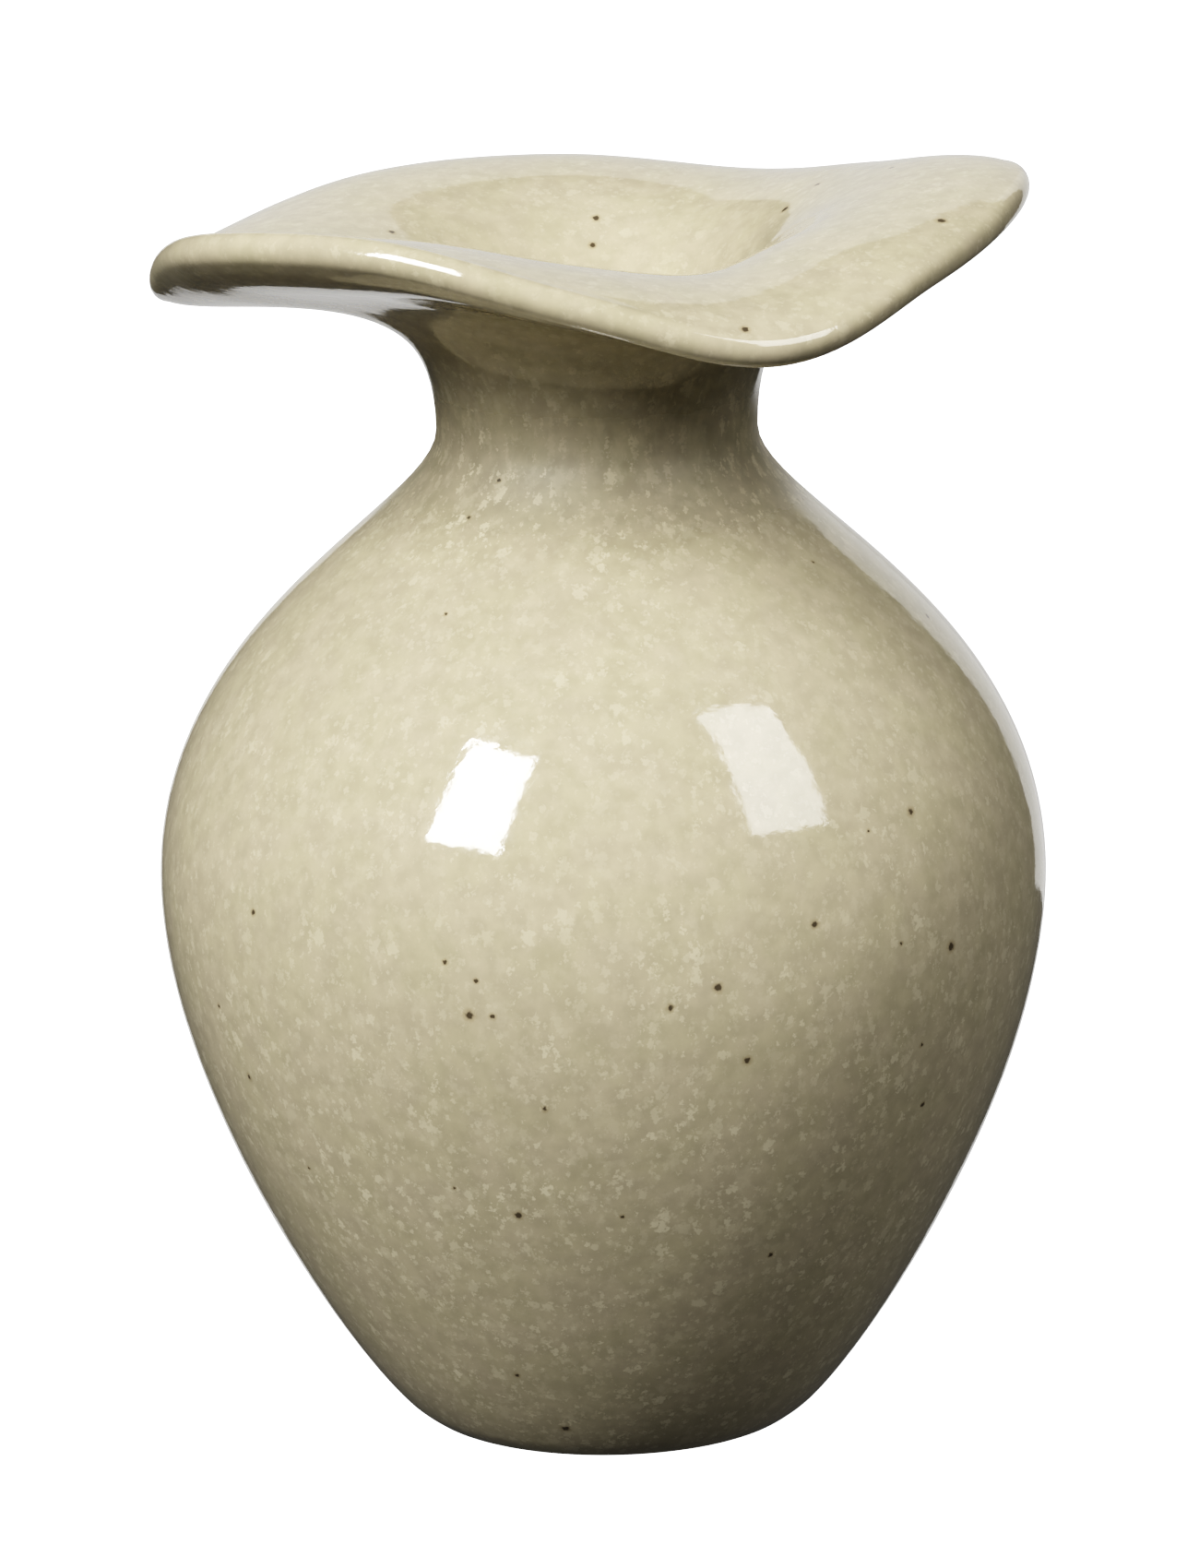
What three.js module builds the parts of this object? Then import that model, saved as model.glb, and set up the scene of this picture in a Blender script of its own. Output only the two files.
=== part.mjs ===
// Ceramic bud vase: a round stoneware body on a turned foot, a narrow neck and a wide ruffled rim,
// coated inside and out with a speckled glaze.
//
// Millimetres, +Z up. The origin is on the surface the vase stands on, at the middle of its foot,
// and the front of the vase faces -Y. Angles round the vase are measured from +X towards +Y.
//
// The clay is made in six sections that meet on level planes: foot ring, floor, lower wall, shoulder,
// neck collar and rim. The glaze is two thin skins over them, one outside and one inside.

import * as THREE from 'three';

// Clay and glaze
const CLAY_WALL = 4.8;
const GLAZE = 0.4; // thickness of the glaze on each face
const GLAZE_GAP = 0.05; // clearance between the glaze and the clay that it lies on
const WALL = CLAY_WALL + 2 * GLAZE;

// Body, measured over the glaze
const FOOT_RADIUS = 17.5; // outer edge of the ring that touches the table
const FOOT_TOP_RADIUS = 25;
const BELLY_RADIUS = 52;
const NECK_RADIUS = 18.7;

// Handles of the body's outline: it heads for these places before it bends away from them
const FOOT_HANDLE_RADIUS = 21.8;
const LOWER_HANDLE_RADIUS = 32;
const LOWER_HANDLE_HEIGHT = 10;
const BELLY_HANDLE_LOW = 42;
const BELLY_HANDLE_HIGH = 97;
const NECK_HANDLE_HEIGHT = 109.5;

// Heights where the sections of clay meet
const FOOT_TOP = 3;
const FLOOR_TOP = 8;
const BELLY_HEIGHT = 66;
const COLLAR_BOTTOM = 110;
const NECK_HEIGHT = 119; // the narrowest place

// Foot ring
const FOOT_BORE_RADIUS = 12;
const FOOT_EDGE = 0.7; // softened inner edge of the ring
const FOOT_RELIEF = 0.3; // bare clay stands back this far where it meets the table
const GLAZE_LINE = 1.2; // height where the outer glaze stops above the table
const BARE_BULGE = 0.5; // height of one more point on the bare clay under that line

// Rim: lobes and dips in order round the vase. Reach and height are those of the middle of the lip,
// and tilt is how many degrees the lip tips up.
const LOBES = [
  { angle: 0, reach: 48, height: 147.1, tilt: 0 },
  { angle: 33, reach: 46.5, height: 142.5, tilt: -10 },
  { angle: 63, reach: 49.5, height: 139, tilt: -8 },
  { angle: 95, reach: 50, height: 140.5, tilt: -8 },
  { angle: 127, reach: 48.5, height: 140.2, tilt: -8 },
  { angle: 155, reach: 48, height: 137.3, tilt: -8 },
  { angle: 185, reach: 49.2, height: 137, tilt: 5 },
  { angle: 200, reach: 50.8, height: 141.8, tilt: 38 },
  { angle: 215, reach: 53, height: 145.2, tilt: 34 },
  { angle: 243, reach: 50.3, height: 146.4, tilt: 32 },
  { angle: 268, reach: 50.8, height: 141.5, tilt: 8 },
  { angle: 291, reach: 53, height: 136.6, tilt: -22 },
  { angle: 318, reach: 49.5, height: 142.4, tilt: -8 },
];
const RIM_RISE = 25; // how long the flare keeps the direction of the neck
const RIM_RUN = 8; // how long the lip keeps its own direction
const LIP_HALF = 2; // half the thickness of the lip at its edge
const BEND_SWELL = 0.9; // extra half thickness in the bend of the flare

// Facets
const SEGMENTS = 40; // round the vase
const WALL_STEPS = 6; // up the lower wall, and again up the shoulder
const COLLAR_STEPS = 3;
const FOOT_STEPS = 2;
const RIM_STEPS = 7;
const EDGE_STEPS = 4; // round the edge of the lip

// Evenly spaced values, both ends included.
function steps(from, to, count) {
  return Array.from({ length: count + 1 }, (_, i) => from + ((to - from) * i) / count);
}

// ---- Body ----

const point = (radius, height) => new THREE.Vector2(radius, height);

// The outline of the glazed body from the table to the neck, as three curves one above the other.
const bodyCurves = [
  new THREE.QuadraticBezierCurve(
    point(FOOT_RADIUS, 0),
    point(FOOT_HANDLE_RADIUS, 0),
    point(FOOT_TOP_RADIUS, FOOT_TOP),
  ),
  new THREE.CubicBezierCurve(
    point(FOOT_TOP_RADIUS, FOOT_TOP),
    point(LOWER_HANDLE_RADIUS, LOWER_HANDLE_HEIGHT),
    point(BELLY_RADIUS, BELLY_HANDLE_LOW),
    point(BELLY_RADIUS, BELLY_HEIGHT),
  ),
  new THREE.CubicBezierCurve(
    point(BELLY_RADIUS, BELLY_HEIGHT),
    point(BELLY_RADIUS, BELLY_HANDLE_HIGH),
    point(NECK_RADIUS, NECK_HANDLE_HEIGHT),
    point(NECK_RADIUS, NECK_HEIGHT),
  ),
];

// A point of the body wall at one height, a given depth under the glazed face. The depth is measured
// square to the face, so it covers more of the radius where the wall slopes.
function wallPoint(height, depth) {
  const curve = bodyCurves.find((c) => height <= c.getPoint(1).y);
  let low = 0;
  let high = 1;
  while (high - low > 1e-9) {
    const middle = (low + high) / 2;
    if (curve.getPoint(middle).y < height) low = middle;
    else high = middle;
  }
  const tangent = curve.getTangent(high);
  return point(curve.getPoint(high).x - depth / tangent.y, height);
}

const wallSide = (heights, depth) => heights.map((height) => wallPoint(height, depth));

// ---- Rim ----

// A smooth closed curve through one value of the lobes, at any angle in degrees.
function roundTheRim(key, degrees) {
  const count = LOBES.length;
  const lobe = (i) => {
    const turns = Math.floor(i / count);
    const source = LOBES[i - turns * count];
    return { angle: source.angle + 360 * turns, value: source[key] };
  };
  const slope = (a, b) => (b.value - a.value) / (b.angle - a.angle);
  // The slope at a lobe is the mean of the slopes on its two sides, and the nearer side counts more.
  const tangent = (i) => {
    const [before, here, after] = [lobe(i - 1), lobe(i), lobe(i + 1)];
    const left = here.angle - before.angle;
    const right = after.angle - here.angle;
    return (slope(before, here) * right + slope(here, after) * left) / (left + right);
  };
  const index = LOBES.findLastIndex((entry) => entry.angle <= degrees);
  const [from, to] = [lobe(index), lobe(index + 1)];
  const width = to.angle - from.angle;
  const s = (degrees - from.angle) / width;
  return (
    (2 * s ** 3 - 3 * s ** 2 + 1) * from.value +
    (s ** 3 - 2 * s ** 2 + s) * width * tangent(index) +
    (3 * s ** 2 - 2 * s ** 3) * to.value +
    (s ** 3 - s ** 2) * width * tangent(index + 1)
  );
}

// The middle of the flare at one angle: a curve from the neck straight up, then out to the lip.
function flareCurve(degrees) {
  const lip = point(roundTheRim('reach', degrees), roundTheRim('height', degrees));
  const tilt = THREE.MathUtils.degToRad(roundTheRim('tilt', degrees));
  const throat = point(NECK_RADIUS - WALL / 2, NECK_HEIGHT);
  return new THREE.CubicBezierCurve(
    throat,
    point(throat.x, NECK_HEIGHT + RIM_RISE),
    point(lip.x - RIM_RUN * Math.cos(tilt), lip.y - RIM_RUN * Math.sin(tilt)),
    lip,
  );
}

// A point of the flare. turn swings from 0 on the under side to 180 degrees on the upper side, and
// depth is how far the point lies under the glazed face.
function flarePoint(curve, along, turn, depth) {
  const middle = curve.getPoint(along);
  const tangent = curve.getTangent(along);
  const swell = (BEND_SWELL * along ** 2 * (1 - along) * 27) / 4; // greatest two thirds of the way out
  const half = LIP_HALF + (WALL / 2 - LIP_HALF) * (1 - along ** 2) + swell - depth;
  const out = THREE.MathUtils.degToRad(turn);
  return point(
    middle.x + half * (tangent.y * Math.cos(out) + tangent.x * Math.sin(out)),
    middle.y + half * (-tangent.x * Math.cos(out) + tangent.y * Math.sin(out)),
  );
}

// From the neck out along the under side of the flare, round the lip and back down into the throat.
function flareSides(degrees, depth) {
  const curve = flareCurve(degrees);
  const along = steps(0, 1, RIM_STEPS).slice(1);
  const turns = steps(0, 180, EDGE_STEPS).slice(1, -1);
  return [
    wallPoint(NECK_HEIGHT, depth),
    ...along.map((place) => flarePoint(curve, place, 0, depth)),
    ...turns.map((turn) => flarePoint(curve, 1, turn, depth)),
    ...along.toReversed().map((place) => flarePoint(curve, place, 180, depth)),
    wallPoint(NECK_HEIGHT, WALL - depth),
  ];
}

// ---- Solids ----

// A closed solid of revolution whose outline may change with the angle. The outline runs
// anticlockwise, with the axis on its left, and either closes on itself or starts and ends on the axis.
// From the row turnBack on, each facet is folded along its other diagonal: where the outline of a
// skin runs back under its own face, both faces then bend like the clay between them.
function turned(outlineAt, turnBack = Infinity) {
  const rows = outlineAt(0).length;
  const geometry = new THREE.LatheGeometry(outlineAt(0), SEGMENTS);
  const { position } = geometry.attributes;
  for (let i = 0; i <= SEGMENTS; i++) {
    const degrees = (360 / SEGMENTS) * (i % SEGMENTS);
    const angle = THREE.MathUtils.degToRad(degrees);
    outlineAt(degrees).forEach(({ x, y }, j) => {
      position.setXYZ(i * rows + j, x * Math.cos(angle), x * Math.sin(angle), y);
    });
    for (let j = turnBack; i < SEGMENTS && j < rows - 1; j++) {
      const [here, next] = [i * rows + j, (i + 1) * rows + j];
      const corners = [here, next, next + 1, here, next + 1, here + 1];
      geometry.index.array.set(corners, 6 * (i * (rows - 1) + j));
    }
  }
  geometry.computeVertexNormals();
  return geometry;
}

const closed = (outline) => [...outline, outline[0]];

// A section of the wall between two levels: up its outer face and down its inner face.
function wallSection(heights) {
  const outer = wallSide(heights, GLAZE);
  const inner = wallSide(heights.toReversed(), GLAZE + CLAY_WALL);
  return turned(() => closed([...outer, ...inner]));
}

const footHeights = steps(GLAZE_LINE, FOOT_TOP, FOOT_STEPS);
const floorHeights = steps(FOOT_TOP, FLOOR_TOP, FOOT_STEPS);
const lowerHeights = steps(FLOOR_TOP, BELLY_HEIGHT, WALL_STEPS);
const shoulderHeights = steps(BELLY_HEIGHT, COLLAR_BOTTOM, WALL_STEPS);
const collarHeights = steps(COLLAR_BOTTOM, NECK_HEIGHT, COLLAR_STEPS);

function footRing() {
  const outline = closed([
    point(FOOT_BORE_RADIUS + FOOT_EDGE, 0),
    point(FOOT_RADIUS - FOOT_RELIEF, 0),
    wallPoint(BARE_BULGE, GLAZE),
    ...wallSide(footHeights, GLAZE),
    point(FOOT_BORE_RADIUS, FOOT_TOP),
    point(FOOT_BORE_RADIUS, FOOT_EDGE),
  ]);
  return turned(() => outline);
}

function floorDisc() {
  const outline = [point(0, FOOT_TOP), ...wallSide(floorHeights, GLAZE), point(0, FLOOR_TOP)];
  return turned(() => outline);
}

function ruffledRim() {
  return turned((degrees) => closed(flareSides(degrees, GLAZE)));
}

// The outer glaze runs from just above the foot, up the body, over the lip and into the throat.
function outerGlaze() {
  const up = [
    ...footHeights,
    ...floorHeights.slice(1),
    ...lowerHeights.slice(1),
    ...shoulderHeights.slice(1),
    ...collarHeights.slice(1, -1),
  ];
  const down = collarHeights.slice(0, -1).toReversed();
  const side = (degrees, depth) => [
    ...wallSide(up, depth),
    ...flareSides(degrees, depth),
    ...wallSide(down, WALL - depth),
  ];
  const section = (degrees) => [
    ...side(degrees, 0),
    ...side(degrees, GLAZE - GLAZE_GAP).toReversed(),
  ];
  return turned((degrees) => closed(section(degrees)), section(0).length / 2);
}

// The liner glaze covers the floor and the inside of the body, and meets the outer glaze in the throat.
function linerGlaze() {
  const heights = [...lowerHeights, ...shoulderHeights.slice(1)];
  const side = (lift, depth) => {
    const [, ...wall] = wallSide(heights, depth);
    const corner = wallPoint(FLOOR_TOP + lift, depth);
    return [point(0, corner.y), corner, ...wall];
  };
  const onClay = side(GLAZE_GAP, WALL - GLAZE + GLAZE_GAP);
  const free = side(GLAZE, WALL);
  return turned(() => [...onClay, ...free.toReversed()]);
}

// ---- Assembly ----

const stoneware = { color: 0x9c8468, roughness: 0.9, metalness: 0 };
const glossyGlaze = { color: 0xbdb592, roughness: 0.12, metalness: 0 };

const pieces = [
  ['foot_ring', footRing(), stoneware],
  ['floor_disc', floorDisc(), stoneware],
  ['lower_wall', wallSection(lowerHeights), stoneware],
  ['shoulder_wall', wallSection(shoulderHeights), stoneware],
  ['neck_collar', wallSection(collarHeights), stoneware],
  ['ruffled_rim', ruffledRim(), stoneware],
  ['outer_glaze', outerGlaze(), glossyGlaze],
  ['liner_glaze', linerGlaze(), glossyGlaze],
];

const vase = new THREE.Group();
for (const [name, geometry, finish] of pieces) {
  const mesh = new THREE.Mesh(geometry, new THREE.MeshStandardMaterial(finish));
  mesh.name = name;
  vase.add(mesh);
}

export default vase;
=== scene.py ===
# Ceramic bud vase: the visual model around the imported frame. Metres, +Z up, front towards -Y.
#
# Every CAD node is rebuilt here as a finer solid on the same curves, so each piece replaces its own
# node. There are six sections of clay that meet on level planes, and two skins of glaze over them.

import math
import random

import bpy
import numpy as np
from mathutils import Matrix, Vector


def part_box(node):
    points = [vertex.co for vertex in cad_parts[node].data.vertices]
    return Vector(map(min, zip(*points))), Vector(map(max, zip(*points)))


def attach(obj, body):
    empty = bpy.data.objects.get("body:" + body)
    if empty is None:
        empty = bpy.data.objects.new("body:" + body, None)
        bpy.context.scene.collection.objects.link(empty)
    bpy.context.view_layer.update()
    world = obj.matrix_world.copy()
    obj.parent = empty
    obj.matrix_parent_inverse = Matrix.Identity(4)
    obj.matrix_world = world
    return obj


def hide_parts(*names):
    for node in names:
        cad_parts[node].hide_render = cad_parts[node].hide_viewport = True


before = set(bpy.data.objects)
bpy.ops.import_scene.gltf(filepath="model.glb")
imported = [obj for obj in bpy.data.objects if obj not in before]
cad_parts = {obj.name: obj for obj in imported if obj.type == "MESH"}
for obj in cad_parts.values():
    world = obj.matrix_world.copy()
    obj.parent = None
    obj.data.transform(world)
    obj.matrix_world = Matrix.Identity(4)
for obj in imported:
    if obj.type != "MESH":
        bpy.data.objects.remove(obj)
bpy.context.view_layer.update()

MM = 0.001

# ---- Heights that the frame gives ----

FOOT_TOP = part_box("foot_ring")[1].z
FLOOR_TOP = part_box("floor_disc")[1].z
BELLY_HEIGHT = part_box("lower_wall")[1].z
COLLAR_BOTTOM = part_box("neck_collar")[0].z
NECK_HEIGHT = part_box("neck_collar")[1].z
GLAZE_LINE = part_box("outer_glaze")[0].z

# ---- Sizes that the CAD source names ----

GLAZE = 0.4 * MM  # thickness of the glaze on each face
GLAZE_GAP = 0.05 * MM
CLAY_WALL = 4.8 * MM
WALL = CLAY_WALL + 2 * GLAZE

FOOT_RADIUS = 17.5 * MM
FOOT_TOP_RADIUS = 25 * MM
FOOT_BORE_RADIUS = 12 * MM
FOOT_EDGE = 0.7 * MM
FOOT_RELIEF = 0.3 * MM
BARE_BULGE = 0.5 * MM
BELLY_RADIUS = 52 * MM
NECK_RADIUS = 18.7 * MM

# Handles of the body's outline: it heads for these places before it bends away from them.
FOOT_HANDLE_RADIUS = 21.8 * MM
LOWER_HANDLE = (32 * MM, 10 * MM)
BELLY_HANDLE_LOW = 42 * MM
BELLY_HANDLE_HIGH = 97 * MM
NECK_HANDLE_HEIGHT = 109.5 * MM

# Lobes and dips of the rim: angle in degrees, reach and height of the middle of the lip in
# millimetres, and how far the lip tips up in degrees.
LOBES = (
    (0, 48.0, 147.1, 0),
    (33, 46.5, 142.5, -10),
    (63, 49.5, 139.0, -8),
    (95, 50.0, 140.5, -8),
    (127, 48.5, 140.2, -8),
    (155, 48.0, 137.3, -8),
    (185, 49.2, 137.0, 5),
    (200, 50.8, 141.8, 38),
    (215, 53.0, 145.2, 34),
    (243, 50.3, 146.4, 32),
    (268, 50.8, 141.5, 8),
    (291, 53.0, 136.6, -22),
    (318, 49.5, 142.4, -8),
)
RIM_RISE = 25 * MM
RIM_RUN = 8 * MM
LIP_HALF = 2 * MM
BEND_SWELL = 0.9 * MM

# ---- Small shapes that only the visual model has ----

LOBE_SMOOTHING = 2.5  # degrees round the vase over which the run of the rim is evened out
LIP_SETTLE = 0.02 * MM  # keeps the finer lip from rising above the facets of the CAD node
THROWN_WAVE = 0.1 * MM  # how far the glazed face wanders in from a perfect round
# The waves that it adds up: relative size, waves round the vase, twist in radians a metre, and phase.
THROWN_WAVES = (
    (1.0, 2, 90, 1.0),
    (0.6, 3, -160, 0.0),
    (0.5, 5, 210, 2.0),
    (0.35, 8, -260, 0.6),
    (0.25, 13, 340, 0.0),
)
GLAZE_ROLL = 0.18 * MM  # how much thinner the glaze is just above its thick lower edge
GLAZE_ROLL_RISE = 1 * MM  # the thinning comes on over this height
GLAZE_ROLL_FADE = 6 * MM  # and fades over this one
FOOT_GROOVE = 0.09 * MM  # depth of the turning marks on the bare clay
FOOT_GROOVE_PITCH = 0.9 * MM

# ---- How fine the meshes are ----

SEGMENTS = 240
ROW_STEP = 1.5 * MM
FINE_ROW_STEP = 0.3 * MM
FLOOR_ROW_STEP = 4 * MM
GROOVE_ROW_STEP = FOOT_GROOVE_PITCH / 6
FLARE_STEPS = 32
EDGE_STEPS = 12
CURVE_STEPS = 600
SHARP_ANGLE = math.radians(50)

ANGLES = np.arange(SEGMENTS) * 360.0 / SEGMENTS


def rows(low, high, step=ROW_STEP):
    """Evenly spaced heights from low to high, both included."""
    return np.linspace(low, high, max(1, round((high - low) / step)) + 1)


def bezier(points, t):
    """A point of a Bezier curve, or many. Each control point is (radius, height), numbers or arrays."""
    parts = np.broadcast_arrays(t, *[part for point in points for part in point])[1:]
    points = [np.stack(pair) for pair in zip(parts[::2], parts[1::2])]
    while len(points) > 1:
        points = [(1 - t) * a + t * b for a, b in zip(points, points[1:])]
    return points[0]


# ---- The body wall ----

BODY_CURVES = (
    ((FOOT_RADIUS, 0), (FOOT_HANDLE_RADIUS, 0), (FOOT_TOP_RADIUS, FOOT_TOP)),
    (
        (FOOT_TOP_RADIUS, FOOT_TOP),
        LOWER_HANDLE,
        (BELLY_RADIUS, BELLY_HANDLE_LOW),
        (BELLY_RADIUS, BELLY_HEIGHT),
    ),
    (
        (BELLY_RADIUS, BELLY_HEIGHT),
        (BELLY_RADIUS, BELLY_HANDLE_HIGH),
        (NECK_RADIUS, NECK_HANDLE_HEIGHT),
        (NECK_RADIUS, NECK_HEIGHT),
    ),
)


def body_outline():
    """Radius, height and steepness (rise per length of wall) of points all the way up the body."""
    t = np.linspace(0, 1, CURVE_STEPS)
    curves = [bezier(curve, t) for curve in BODY_CURVES]
    slopes = [np.gradient(curve, axis=1) for curve in curves]
    radius, height = np.concatenate(curves, axis=1)
    steepness = np.concatenate([rise / np.hypot(out, rise) for out, rise in slopes])
    return radius, height, steepness


OUTLINE_RADIUS, OUTLINE_HEIGHT, OUTLINE_STEEPNESS = body_outline()


def wall_row(height, depth):
    """(radius, height) of the body wall at a height, a depth under its glazed face."""
    radius = np.interp(height, OUTLINE_HEIGHT, OUTLINE_RADIUS)
    steepness = np.interp(height, OUTLINE_HEIGHT, OUTLINE_STEEPNESS)
    return np.stack(np.broadcast_arrays(radius - depth / steepness, height), axis=-1)


def wall_side(heights, depth):
    return [wall_row(height, depth) for height in heights]


# ---- The flared rim ----

def round_the_rim(column):
    """One column of LOBES as a smooth closed curve through the lobes, at every angle."""
    angle = np.array([lobe[0] for lobe in LOBES], dtype=float)
    value = np.array([lobe[column] for lobe in LOBES], dtype=float)
    angle = np.concatenate([angle[-2:] - 360, angle, angle[:2] + 360])
    value = np.concatenate([value[-2:], value, value[:2]])
    width = np.diff(angle)
    slope = np.diff(value) / width
    tangent = np.zeros_like(value)
    tangent[1:-1] = (slope[:-1] * width[1:] + slope[1:] * width[:-1]) / (width[:-1] + width[1:])
    i = np.searchsorted(angle, ANGLES, side="right") - 1
    s = (ANGLES - angle[i]) / width[i]
    curve = (
        (2 * s**3 - 3 * s**2 + 1) * value[i]
        + (s**3 - 2 * s**2 + s) * width[i] * tangent[i]
        + (3 * s**2 - 2 * s**3) * value[i + 1]
        + (s**3 - s**2) * width[i] * tangent[i + 1]
    )
    away = np.minimum(ANGLES, 360 - ANGLES)
    blur = np.exp(-0.5 * (away / LOBE_SMOOTHING) ** 2)
    return np.fft.ifft(np.fft.fft(curve) * np.fft.fft(blur / blur.sum())).real


LIP_REACH = round_the_rim(1) * MM
LIP_HEIGHT = round_the_rim(2) * MM - LIP_SETTLE
LIP_TILT = np.radians(round_the_rim(3))


def flare_row(along, turn, depth):
    """One row round the flare. along runs from the neck to the lip, and turn swings from the under
    side (0) to the upper side (180 degrees)."""
    throat = NECK_RADIUS - WALL / 2
    curve = (
        (throat, NECK_HEIGHT),
        (throat, NECK_HEIGHT + RIM_RISE),
        (LIP_REACH - RIM_RUN * np.cos(LIP_TILT), LIP_HEIGHT - RIM_RUN * np.sin(LIP_TILT)),
        (LIP_REACH, LIP_HEIGHT),
    )
    middle = bezier(curve, along)
    nearby = 1e-4
    out, rise = bezier(curve, along + nearby) - bezier(curve, along - nearby)
    out, rise = out / np.hypot(out, rise), rise / np.hypot(out, rise)
    swell = BEND_SWELL * along**2 * (1 - along) * 27 / 4  # greatest two thirds of the way out
    half = LIP_HALF + (WALL / 2 - LIP_HALF) * (1 - along**2) + swell - depth
    cos, sin = math.cos(math.radians(turn)), math.sin(math.radians(turn))
    radius = middle[0] + half * (rise * cos + out * sin)
    height = middle[1] + half * (rise * sin - out * cos)
    return np.stack([radius, height], axis=-1)


def flare_sides(depth):
    """From the neck out along the under side of the flare, round the lip and back down the throat."""
    along = np.linspace(0, 1, FLARE_STEPS + 1)[1:]
    turns = np.linspace(0, 180, EDGE_STEPS + 1)[1:-1]
    return [
        wall_row(NECK_HEIGHT, depth),
        *[flare_row(place, 0, depth) for place in along],
        *[flare_row(1, turn, depth) for turn in turns],
        *[flare_row(place, 180, depth) for place in along[::-1]],
        wall_row(NECK_HEIGHT, WALL - depth),
    ]


# ---- Solids ----

def turned(name, outline, node, material):
    """A closed solid of revolution from rows of (radius, height), one pair or one for each angle.
    The outline runs anticlockwise with the axis on its left, and closes on itself or on the axis."""
    outline = np.stack([np.broadcast_to(row, (SEGMENTS, 2)) for row in outline])
    on_axis = outline[0, 0, 0] == 0
    ring = outline[1:-1] if on_axis else outline
    turn = np.radians(ANGLES)
    radius, height = ring[..., 0], ring[..., 1]
    points = np.stack([radius * np.cos(turn), radius * np.sin(turn), height], axis=-1)
    vertices = points.reshape(-1, 3).tolist()
    count = len(ring)
    here = np.arange(SEGMENTS)
    after = (here + 1) % SEGMENTS
    faces = []
    for row in range(count - 1 if on_axis else count):
        low, high = row * SEGMENTS, (row + 1) % count * SEGMENTS
        faces += np.stack([low + here, low + after, high + after, high + here], axis=-1).tolist()
    if on_axis:
        bottom, top = len(vertices), len(vertices) + 1
        vertices += [(0, 0, outline[0, 0, 1]), (0, 0, outline[-1, 0, 1])]
        last = (count - 1) * SEGMENTS
        faces += [(bottom, b, a) for a, b in zip(here.tolist(), after.tolist())]
        faces += [(top, last + a, last + b) for a, b in zip(here.tolist(), after.tolist())]
    mesh = bpy.data.meshes.new(name)
    mesh.from_pydata(vertices, [], faces)
    mesh.shade_smooth()
    mesh.set_sharp_from_angle(angle=SHARP_ANGLE)
    mesh.materials.append(material)
    piece = bpy.data.objects.new(name, mesh)
    bpy.context.collection.objects.link(piece)
    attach(piece, "root")
    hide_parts(node)
    return piece


def hand_thrown(row, place):
    """A row of the glazed face, moved inwards by the slow unevenness of a vase thrown by hand. place
    is how far up the outline the row is, in metres."""
    row = np.broadcast_to(row, (SEGMENTS, 2)).copy()
    turn = np.radians(ANGLES)
    wave = sum(
        size * np.sin(count * turn + twist * place + phase)
        for size, count, twist, phase in THROWN_WAVES
    )
    largest = sum(size for size, *_ in THROWN_WAVES)
    row[:, 0] -= THROWN_WAVE * (1 + wave / largest) / 2
    return row


def rows_along(outline):
    """How far along its outline each row is, measured at angle zero."""
    points = np.array([np.broadcast_to(row, (SEGMENTS, 2))[0] for row in outline])
    steps = np.hypot(*np.diff(points, axis=0).T)
    return np.concatenate([[0], np.cumsum(steps)])


def glaze_roll(height):
    """How much thinner the outer glaze is at a height. It thins just above the thick roll where it
    ends."""
    rise = height - GLAZE_LINE
    return GLAZE_ROLL * (1 - math.exp(-rise / GLAZE_ROLL_RISE)) * math.exp(-rise / GLAZE_ROLL_FADE)


def groove_depth(distance):
    """How deep the turning marks are, some distance across the bare clay from their crest."""
    return FOOT_GROOVE * (1 - math.cos(math.tau * distance / FOOT_GROOVE_PITCH)) / 2


# ---- Materials ----

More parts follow.
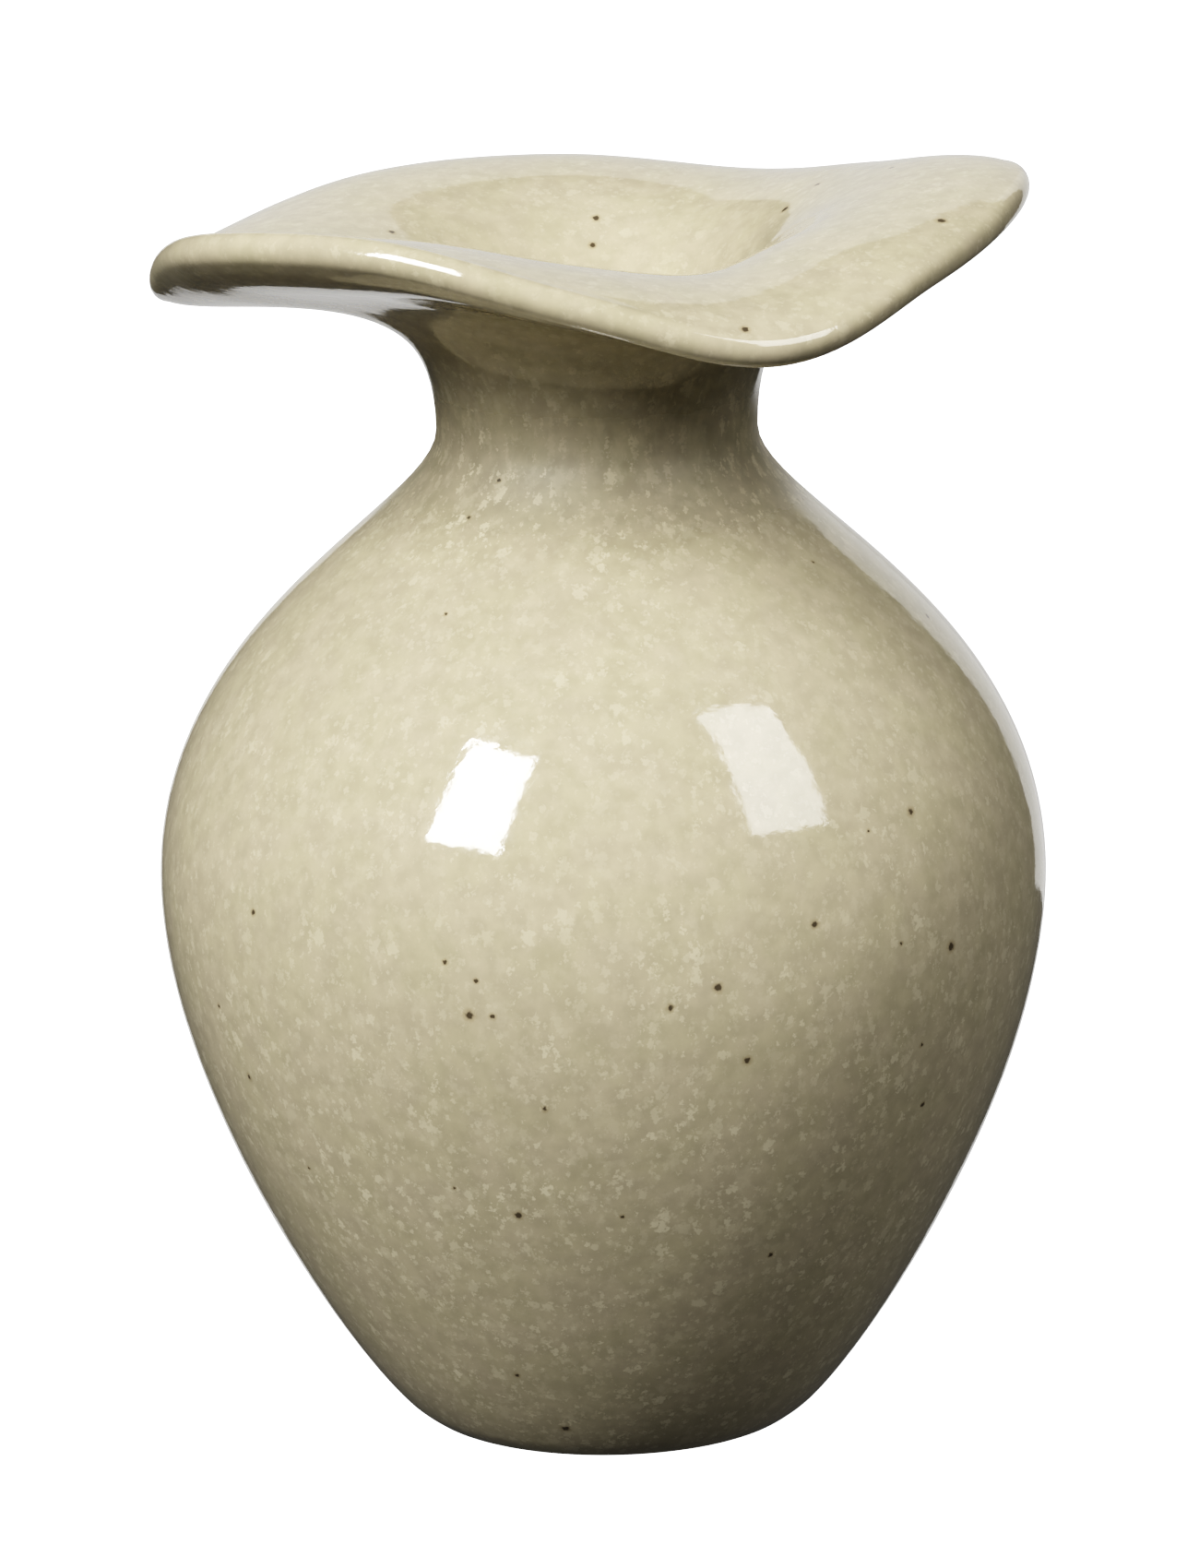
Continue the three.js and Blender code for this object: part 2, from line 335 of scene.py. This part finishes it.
class Graph:
    """A material's nodes. A value is a number, a tuple or the socket that feeds it."""

    def __init__(self, name):
        self.material = bpy.data.materials.new(name)
        self.material.use_nodes = True
        self.nodes = self.material.node_tree.nodes
        self.shader = self.nodes["Principled BSDF"]
        place = self.add("TexCoord").outputs["Object"]
        self.place = self.scale(place, (1 / MM, 1 / MM, 1 / MM))  # in millimetres

    def set(self, node, socket, value):
        if isinstance(value, bpy.types.NodeSocket):
            self.material.node_tree.links.new(value, node.inputs[socket])
        else:
            node.inputs[socket].default_value = value

    def add(self, kind, inputs=(), **settings):
        node = self.nodes.new("ShaderNode" + kind)
        for name, value in settings.items():
            setattr(node, name, value)
        for socket, value in dict(inputs).items():
            self.set(node, socket, value)
        return node

    def math(self, operation, *values):
        return self.add("Math", dict(enumerate(values)), operation=operation).outputs[0]

    def scale(self, vector, factors):
        return self.add("VectorMath", {0: vector, 1: factors}, operation="MULTIPLY").outputs[0]

    def ramp(self, value, low, high, to_low=0.0, to_high=1.0):
        """to_low where the value is low or less, to_high where it is high or more, smooth between."""
        sockets = {"Value": value, "From Min": low, "From Max": high, "To Min": to_low, "To Max": to_high}
        return self.add("MapRange", sockets, interpolation_type="SMOOTHSTEP").outputs["Result"]

    def cloud_node(self, vector, size, detail):
        return self.add("TexNoise", {"Vector": vector, "Scale": 1 / size, "Detail": detail})

    def clouds(self, vector, size, detail=2.0):
        """Cloudy noise from 0 to 1, with clouds about size millimetres across."""
        return self.cloud_node(vector, size, detail).outputs[0]

    def colour_clouds(self, vector, size, detail=2.0):
        """The same as three unlike noises at once."""
        return self.cloud_node(vector, size, detail).outputs["Color"]

    def mix(self, factor, first, second):
        """The first colour where the factor is 0 and the second where it is 1."""
        node = self.add("Mix", data_type="RGBA")
        self.set(node, "Factor", factor)
        for socket, value in zip((node.inputs[6], node.inputs[7]), (first, second)):
            if isinstance(value, bpy.types.NodeSocket):
                self.material.node_tree.links.new(value, socket)
            else:
                socket.default_value = (*value, 1.0)
        return node.outputs[2]

    def bump(self, height, distance, before=None):
        """Bump of a height from 0 to 1 that stands for so many millimetres."""
        sockets = {"Height": height, "Distance": distance * MM, "Strength": 1.0}
        if before is not None:
            sockets["Normal"] = before
        return self.add("Bump", sockets).outputs["Normal"]


# Colours are scene-linear.
GLAZE_OLIVE = (0.478, 0.426, 0.288)
GLAZE_MAUVE = (0.492, 0.433, 0.303)
FLECK_PALE = (0.71, 0.645, 0.465)
IRON = (0.060, 0.044, 0.026)
IRON_HALO = (0.26, 0.19, 0.09)
CLAY_DARK = (0.40, 0.29, 0.185)
CLAY_LIGHT = (0.50, 0.385, 0.26)
CLAY_SAND = (0.62, 0.50, 0.36)
CLAY_GRIT = (0.10, 0.065, 0.04)

GLAZE_IOR = 1.55
CLAY_IOR = 1.45

# Heights in millimetres over which the glaze changes up the vase: where a change starts and ends.
GRAINS_FADE_UP_BODY = (20.0, 95.0)
GRAINS_CROWD_AT_NECK = (103.0, 112.0)
GRAINS_FADE_ON_RIM = (116.0, 128.0)
GRAINS_RUN_DOWN_NECK = (108.0, 128.0)
NECK_SHADE_COMES, NECK_SHADE_GOES = (106.0, 114.0), (124.0, 134.0)  # painted shade: the glaze is darker round the neck, where the rim shades it
DULL_COMES, DULL_GOES = (107.0, 116.0), (119.0, 127.0)  # less glossy glaze round the neck

# Pale grains of three sizes. Spacing is in millimetres, share is the part of the places that hold a
# grain, radii runs from the smallest to the largest grain as parts of the spacing, and torn is the
# (size, reach, seed) in millimetres of the noise that pulls the grains out of round.
GRAINS = (
    {"spacing": 2.1, "share": 0.45, "radii": (0.2, 0.47), "torn": (0.6, 2.0, 0.0), "strength": 1.0},
    {"spacing": 1.3, "share": 0.6, "radii": (0.22, 0.5), "torn": (0.45, 1.5, 31.0), "strength": 0.9},
    {"spacing": 0.85, "share": 0.65, "radii": (0.25, 0.5), "torn": (0.3, 1.0, 67.0), "strength": 0.8},
)
WISPS_TORN = (0.5, 0.9, 13.0)

# Iron specks in the glaze: angle in degrees, height and diameter in millimetres.
BODY_SPECKS = (
    (319, 65, 1.0), (259, 6, 1.0), (253, 62, 1.0), (257, 37, 0.9), (284, 65, 0.9), (288, 56, 0.8),
    (315, 81, 0.8), (297, 71, 0.8), (214, 49, 0.7), (278, 63, 0.7), (251, 14, 0.6), (318, 46, 0.6),
    (250, 68, 0.5), (296, 30, 0.6), (220, 70, 0.6), (262, 51, 0.6), (315, 54, 0.5), (230, 112, 0.5),
    (256, 62, 0.6), (210, 57, 0.5), (235, 116, 0.5), (326, 106, 0.4), (254, 66, 0.5), (272, 37, 0.5),
    (248, 40, 0.4), (238, 103, 0.4), (222, 39, 0.4), (307, 80, 0.4), (310, 67, 0.4),
)
# And in the rim: angle, place from the neck (0) to the lip (1) and diameter.
RIM_SPECKS = (
    (230.4, 0.99, 0.9), (239, 0.96, 0.7), (89.4, 0.37, 0.8), (90.6, 0.295, 0.65), (326.7, 0.91, 1.0),
    (287.9, 0.977, 0.8),
)
MORE_SPECKS = 26  # on the back of the body
MORE_RIM_SPECKS = 5
SPECK_SEED = 7


def speck_list():
    """Centres in millimetres and radii of the iron specks."""
    draw = random.Random(SPECK_SEED)
    body = list(BODY_SPECKS)
    for _ in range(MORE_SPECKS):
        body.append((draw.uniform(-20, 200), draw.uniform(8, 112), draw.uniform(0.4, 1.0)))
    rim = list(RIM_SPECKS)
    for _ in range(MORE_RIM_SPECKS):
        rim.append((draw.uniform(0, 180), draw.uniform(0.4, 0.95), draw.uniform(0.6, 1.0)))
    spots = [(angle, wall_row(height * MM, 0) / MM, size) for angle, height, size in body]
    for angle, along, size in rim:
        nearest = round(angle / 360 * SEGMENTS) % SEGMENTS
        spots.append((angle, flare_row(along, 180, 0)[nearest] / MM, size))
    found = []
    for angle, (radius, height), size in spots:
        turn = math.radians(angle)
        found.append(((radius * math.cos(turn), radius * math.sin(turn), height), size / 2))
    return found


def nudge(graph, size, detail, reach, seed=0.0):
    """The place on the vase, shifted by cloudy noise up to about reach millimetres each way."""
    drift = graph.colour_clouds(graph.place, size, detail)
    middle = tuple(seed - 0.5 * part for part in reach)
    moved = graph.add("VectorMath", {0: drift, 1: reach, 2: middle}, operation="MULTIPLY_ADD").outputs[0]
    return graph.add("VectorMath", {0: moved, 1: graph.place}, operation="ADD").outputs[0]


def flecks(graph, place, grain):
    """Soft pale grains of one size of GRAINS, on a loose grid. Some are fainter than others."""
    scale = 1 / grain["spacing"]
    cells = graph.add("TexVoronoi", {"Vector": place, "Scale": scale, "Randomness": 1.0})
    draw = graph.add("SeparateColor", {0: cells.outputs["Color"]})
    radius = graph.ramp(draw.outputs[0], 0.0, 1.0, *grain["radii"])
    away = graph.math("DIVIDE", cells.outputs["Distance"], radius)
    spot = graph.ramp(away, 0.6, 1.0, 1.0, 0.0)
    paleness = graph.ramp(draw.outputs[1], 0.0, 1.0, 0.35, 1.0)
    present = graph.math("LESS_THAN", draw.outputs[2], grain["share"])
    spot = graph.math("MULTIPLY", graph.math("MULTIPLY", spot, paleness), present)
    return graph.math("MULTIPLY", spot, grain["strength"])


def pale_grains(graph, height):
    """How pale the glaze is at each place. It has ragged grains of three sizes and thin clouds."""
    stretch = graph.ramp(height, *GRAINS_RUN_DOWN_NECK, 0.0, -7.0)
    stretch = graph.add("CombineXYZ", {2: stretch}).outputs[0]

    def tear(size, reach, seed):
        place = nudge(graph, size, 3.0, (reach, reach, 1.5 * reach), seed)
        place = graph.add("VectorMath", {0: place, 1: stretch}, operation="ADD").outputs[0]
        return graph.scale(place, (1.0, 1.0, 0.8))

    pale = graph.ramp(graph.clouds(tear(*WISPS_TORN), 1.6, 3.0), 0.52, 0.72, 0.0, 0.35)
    for grain in GRAINS:
        pale = graph.math("MAXIMUM", pale, flecks(graph, tear(*grain["torn"]), grain))

    crowd = graph.ramp(graph.clouds(graph.place, 11.0), 0.35, 0.65, 0.6, 1.0)
    body = graph.ramp(height, *GRAINS_FADE_UP_BODY, 0.95, 0.47)
    neck = graph.ramp(height, *GRAINS_CROWD_AT_NECK, 0.0, 0.27)
    rim = graph.ramp(height, *GRAINS_FADE_ON_RIM, 0.0, -0.34)
    strength = graph.math("ADD", graph.math("ADD", body, neck), rim)
    return graph.math("MULTIPLY", graph.math("MULTIPLY", pale, crowd), strength)


def add_iron_specks(graph, colour):
    """The colour with the iron specks on it, each with a thin rusty halo."""
    ragged = nudge(graph, 0.45, 2.0, (0.5, 0.5, 0.5))
    nearest = None
    for centre, radius in speck_list():
        away = graph.add("VectorMath", {0: ragged, 1: centre}, operation="DISTANCE").outputs["Value"]
        away = graph.math("DIVIDE", away, radius)
        nearest = away if nearest is None else graph.math("MINIMUM", nearest, away)
    colour = graph.mix(graph.ramp(nearest, 1.0, 2.2, 0.35, 0.0), colour, IRON_HALO)
    return graph.mix(graph.ramp(nearest, 0.6, 1.2, 0.9, 0.0), colour, IRON)


def make_glaze():
    graph = Graph("speckled_glaze")
    shader = graph.shader
    height = graph.add("SeparateXYZ", {0: graph.place}).outputs[2]

    def round_neck(comes, goes, amount):
        """An amount that is there only round the neck."""
        return graph.math("MULTIPLY", graph.ramp(height, *comes), graph.ramp(height, *goes, amount, 0.0))

    tint = graph.ramp(graph.clouds(graph.place, 6.0, 3.0), 0.35, 0.65)
    base = graph.mix(tint, GLAZE_OLIVE, GLAZE_MAUVE)
    level = graph.ramp(graph.clouds(graph.place, 2.4, 3.0), 0.3, 0.7, 0.92, 1.05)
    # Painted shade: the glaze colour is darkened round the neck, where the rim's shadow falls.
    level = graph.math("SUBTRACT", level, round_neck(NECK_SHADE_COMES, NECK_SHADE_GOES, 0.17))
    base = graph.add("VectorMath", {0: base, "Scale": level}, operation="SCALE").outputs[0]
    colour = graph.mix(pale_grains(graph, height), base, FLECK_PALE)
    graph.set(shader, "Base Color", add_iron_specks(graph, colour))

    haze = graph.ramp(graph.clouds(graph.place, 1.6), 0.3, 0.7, 0.045, 0.085)
    dull = round_neck(DULL_COMES, DULL_GOES, 0.5)
    graph.set(shader, "Roughness", graph.math("ADD", haze, dull))
    shader.inputs["IOR"].default_value = GLAZE_IOR

    swell = graph.bump(graph.clouds(graph.place, 5.0, 1.0), 0.04)
    ripple = graph.clouds(graph.place, 1.3)
    graph.set(shader, "Normal", graph.bump(ripple, 0.014, swell))
    return graph.material


def make_stoneware():
    graph = Graph("stoneware")
    shader = graph.shader

    tint = graph.ramp(graph.clouds(graph.place, 6.0, 4.0), 0.35, 0.65)
    colour = graph.mix(tint, CLAY_DARK, CLAY_LIGHT)
    sand = graph.clouds(graph.place, 0.35)
    colour = graph.mix(graph.ramp(sand, 0.55, 0.75, 0.0, 0.5), colour, CLAY_SAND)
    grit = graph.add("TexVoronoi", {"Vector": graph.place, "Scale": 0.9})
    spot = graph.ramp(grit.outputs["Distance"], 0.12, 0.2, 1.0, 0.0)
    picked = graph.add("SeparateColor", {0: grit.outputs["Color"]}).outputs[0]
    spot = graph.math("MULTIPLY", spot, graph.ramp(picked, 0.6, 0.7))
    colour = graph.mix(graph.math("MULTIPLY", spot, 0.8), colour, CLAY_GRIT)
    graph.set(shader, "Base Color", colour)

    graph.set(shader, "Roughness", graph.ramp(sand, 0.3, 0.7, 0.82, 0.95))
    shader.inputs["IOR"].default_value = CLAY_IOR

    lumps = graph.bump(graph.clouds(graph.place, 1.4, 3.0), 0.12)
    graph.set(shader, "Normal", graph.bump(sand, 0.06, lumps))
    return graph.material


GLAZED = make_glaze()
BARE = make_stoneware()


# ---- The pieces ----

def make_foot_ring():
    across = rows(FOOT_BORE_RADIUS + FOOT_EDGE, FOOT_RADIUS - FOOT_RELIEF, GROOVE_ROW_STEP)
    flat = [(radius, groove_depth(radius - across[0])) for radius in across[:-1]]
    flat.append((across[-1], 0))
    bore = [(FOOT_BORE_RADIUS, FOOT_TOP), (FOOT_BORE_RADIUS, FOOT_EDGE)]
    outer = wall_side((BARE_BULGE, *rows(GLAZE_LINE, FOOT_TOP, FINE_ROW_STEP)), GLAZE)
    turned("stoneware_foot_ring", [*flat, *outer, *bore], "foot_ring", BARE)


def make_floor_disc():
    rim = wall_row(FOOT_TOP, GLAZE)[0]
    across = rows(FOOT_GROOVE_PITCH, FOOT_BORE_RADIUS, GROOVE_ROW_STEP)
    under = [(radius, FOOT_TOP + groove_depth(radius)) for radius in across]
    side = wall_side(rows(FOOT_TOP, FLOOR_TOP, FINE_ROW_STEP), GLAZE)
    outline = [(0, FOOT_TOP), *under, (rim - WALL, FOOT_TOP), *side, (0, FLOOR_TOP)]
    turned("stoneware_floor", outline, "floor_disc", BARE)


def make_wall_section(name, node, low, high):
    heights = rows(low, high)
    outline = wall_side(heights, GLAZE) + wall_side(heights[::-1], GLAZE + CLAY_WALL)
    turned(name, outline, node, BARE)


def make_outer_glaze():
    up = [*rows(GLAZE_LINE, FLOOR_TOP, FINE_ROW_STEP), *rows(FLOOR_TOP, NECK_HEIGHT)[1:-1]]
    down = rows(COLLAR_BOTTOM, NECK_HEIGHT)[-2::-1]
    face = [wall_row(height, glaze_roll(height)) for height in up]
    face += flare_sides(0) + wall_side(down, WALL)
    face = [hand_thrown(row, place) for row, place in zip(face, rows_along(face))]
    lap = GLAZE - GLAZE_GAP
    back = wall_side(up, lap) + flare_sides(lap) + wall_side(down, WALL - lap)
    turned("speckled_glaze_outside", face + back[::-1], "outer_glaze", GLAZED)


def make_liner_glaze():
    heights = rows(FLOOR_TOP, COLLAR_BOTTOM)[1:]
    across = rows(FLOOR_ROW_STEP, wall_row(FLOOR_TOP, WALL)[0], FLOOR_ROW_STEP)[:-1]

    def side(lift, depth):
        floor = FLOOR_TOP + lift
        return [
            (0, floor),
            *[(radius, floor) for radius in across],
            wall_row(floor, depth),
            *wall_side(heights, depth),
        ]

    on_clay = side(GLAZE_GAP, WALL - GLAZE + GLAZE_GAP)
    free = side(GLAZE, WALL)
    turned("speckled_glaze_inside", on_clay + free[::-1], "liner_glaze", GLAZED)


def make_ruffled_rim():
    turned("stoneware_ruffled_rim", flare_sides(GLAZE), "ruffled_rim", BARE)


make_foot_ring()
make_floor_disc()
make_wall_section("stoneware_lower_wall", "lower_wall", FLOOR_TOP, BELLY_HEIGHT)
make_wall_section("stoneware_shoulder", "shoulder_wall", BELLY_HEIGHT, COLLAR_BOTTOM)
make_wall_section("stoneware_neck_collar", "neck_collar", COLLAR_BOTTOM, NECK_HEIGHT)
make_ruffled_rim()
make_outer_glaze()
make_liner_glaze()


# ---- Floor, world, lights ----

CENTRE = Vector((0, 0, 0.08))  # the softboxes and the fill stand round this place
SOFTBOX_DISTANCE = 2.0
SHEET_DISTANCE = 1.5
SHEET_HEIGHT = 1.2
FILL_DISTANCE = 1.4
AMBIENT = 0.11  # the room's light on the vase
BACKDROP = 8.0  # what the camera sees behind it
FLOOR_RADIUS = 3.0
FLOOR_DROP = 0.2 * MM  # the floor lies this far under the foot
FLOOR_GLOW = 4.2


def direction(azimuth, elevation):
    """A unit vector away from the vase. Azimuth 0 is towards the camera and grows to its right."""
    azimuth, elevation = math.radians(azimuth), math.radians(elevation)
    return Vector((
        math.sin(azimuth) * math.cos(elevation),
        -math.cos(azimuth) * math.cos(elevation),
        math.sin(elevation),
    ))


def panel(name, location, facing, width, height, radiance):
    """A bright rectangle: width is its side along the floor. It lights the vase and shows in the
    glaze, but the camera doesn't see it."""
    lamp = bpy.data.lights.new(name, "AREA")
    lamp.shape = "RECTANGLE"
    lamp.size, lamp.size_y = width, height
    lamp.energy = radiance * math.pi * width * height
    light = bpy.data.objects.new(name, lamp)
    light.location = location
    light.rotation_euler = (-facing).to_track_quat("Z", "Y").to_euler()
    light.visible_camera = False
    bpy.context.collection.objects.link(light)
    return light


def softbox(name, place, facing, width, height, radiance):
    """place and facing are (azimuth, elevation): where the box stands and where its back points."""
    location = CENTRE + direction(*place) * SOFTBOX_DISTANCE
    panel(name, location, -direction(*facing), width, height, radiance)


def standing_sheet(name, left, right, bottom, radiance):
    """Part of the white sheet behind the vase, from one x to another. It reaches below the floor,
    which doesn't show in the glaze, because the real sheet runs forward under the vase."""
    middle = Vector(((left + right) / 2, SHEET_DISTANCE, (bottom + SHEET_HEIGHT) / 2))
    panel(name, middle, Vector((0, -1, 0)), right - left, SHEET_HEIGHT - bottom, radiance)


def make_lights():
    softbox(
        "softbox_left", place=(-38.8, 40.5), facing=(-37.7, 17.6), width=0.65, height=1.096, radiance=49.0
    )
    softbox(
        "softbox_right", place=(58.0, 42.6), facing=(31.7, 23.7), width=0.74, height=1.236, radiance=13.0
    )
    standing_sheet("sheet_middle", left=-0.40, right=0.40, bottom=-0.62, radiance=1.1)
    standing_sheet("sheet_right", left=0.40, right=0.92, bottom=-0.36, radiance=1.5)
    # A low, wide light for the back of the vase. It doesn't show in the glaze.
    away = direction(180, 8)
    fill = panel(
        "fill_behind", CENTRE + away * FILL_DISTANCE, -away, width=1.4, height=0.8, radiance=7.0
    )
    fill.visible_glossy = False


def make_world():
    world = bpy.data.worlds.new("studio")
    world.use_nodes = True
    tree = world.node_tree
    background = tree.nodes["Background"]
    seen = tree.nodes.new("ShaderNodeLightPath")
    level = tree.nodes.new("ShaderNodeMapRange")
    level.inputs["To Min"].default_value = AMBIENT
    level.inputs["To Max"].default_value = BACKDROP
    tree.links.new(seen.outputs["Is Camera Ray"], level.inputs["Value"])
    tree.links.new(level.outputs["Result"], background.inputs["Strength"])
    background.inputs["Color"].default_value = (1, 1, 1, 1)
    bpy.context.scene.world = world


def make_floor():
    mesh = bpy.data.meshes.new("floor")
    ring = [direction(angle, 0) * FLOOR_RADIUS for angle in range(0, 360, 5)]
    mesh.from_pydata([tuple(point) for point in ring], [], [tuple(range(len(ring)))])
    material = bpy.data.materials.new("pale_floor")
    material.use_nodes = True
    shader = material.node_tree.nodes["Principled BSDF"]
    shader.inputs["Base Color"].default_value = (0.8, 0.8, 0.8, 1)
    shader.inputs["Roughness"].default_value = 0.9
    shader.inputs["Emission Color"].default_value = (1, 1, 1, 1)
    shader.inputs["Emission Strength"].default_value = FLOOR_GLOW
    mesh.materials.append(material)
    floor = bpy.data.objects.new("floor", mesh)
    floor.location.z = -FLOOR_DROP
    floor.visible_diffuse = False
    floor.visible_glossy = False
    bpy.context.collection.objects.link(floor)


make_lights()
make_world()
make_floor()


# ---- Camera and picture ----

CAMERA_CENTRE = Vector((0, 0, 0.0693))
CAMERA_DISTANCE = 0.891  # from that centre
CAMERA_ELEVATION = 14
CAMERA_AIM = Vector((-0.0003, 0.0017, 0.0759))
CAMERA_ROLL = 0.83  # degrees, so that the vase leans a little to the left
LENS = 174.3  # millimetres, on a sensor of 36 mm along the picture's long side


def make_camera():
    data = bpy.data.cameras.new("camera")
    data.lens = LENS
    data.sensor_width = 36
    data.clip_start, data.clip_end = 0.05, 20
    camera = bpy.data.objects.new("camera", data)
    camera.location = CAMERA_CENTRE + direction(0, CAMERA_ELEVATION) * CAMERA_DISTANCE
    look = (CAMERA_AIM - camera.location).to_track_quat("-Z", "Y").to_matrix()
    camera.rotation_euler = (look @ Matrix.Rotation(math.radians(-CAMERA_ROLL), 3, "Z")).to_euler()
    bpy.context.collection.objects.link(camera)
    bpy.context.scene.camera = camera


# The picture shows a scene-linear value x as TONE_GAIN * y / (1 + y), where y is x ** TONE_POWER.
TONE_GAIN = 1.19
TONE_POWER = 1.5
WHITE_LEVEL = (1 / (TONE_GAIN - 1)) ** (1 / TONE_POWER)  # the value that shows as white
TONE_POINTS = (0.01, 0.025, 0.05, 0.08, 0.12, 0.17, 0.23, 0.31, 0.42, 0.56, 0.76)


def set_tone_curve():
    """A soft film-like curve: it keeps the darks rich and rolls the highlights off to white."""
    settings = bpy.context.scene.view_settings
    settings.view_transform = "Standard"
    settings.look = "None"
    settings.use_curve_mapping = True
    mapping = settings.curve_mapping
    mapping.white_level = (WHITE_LEVEL, WHITE_LEVEL, WHITE_LEVEL)
    curve = mapping.curves[3]
    for t in TONE_POINTS:
        y = (t * WHITE_LEVEL) ** TONE_POWER
        curve.points.new(t, TONE_GAIN * y / (1 + y))
    mapping.update()


make_camera()
set_tone_curve()
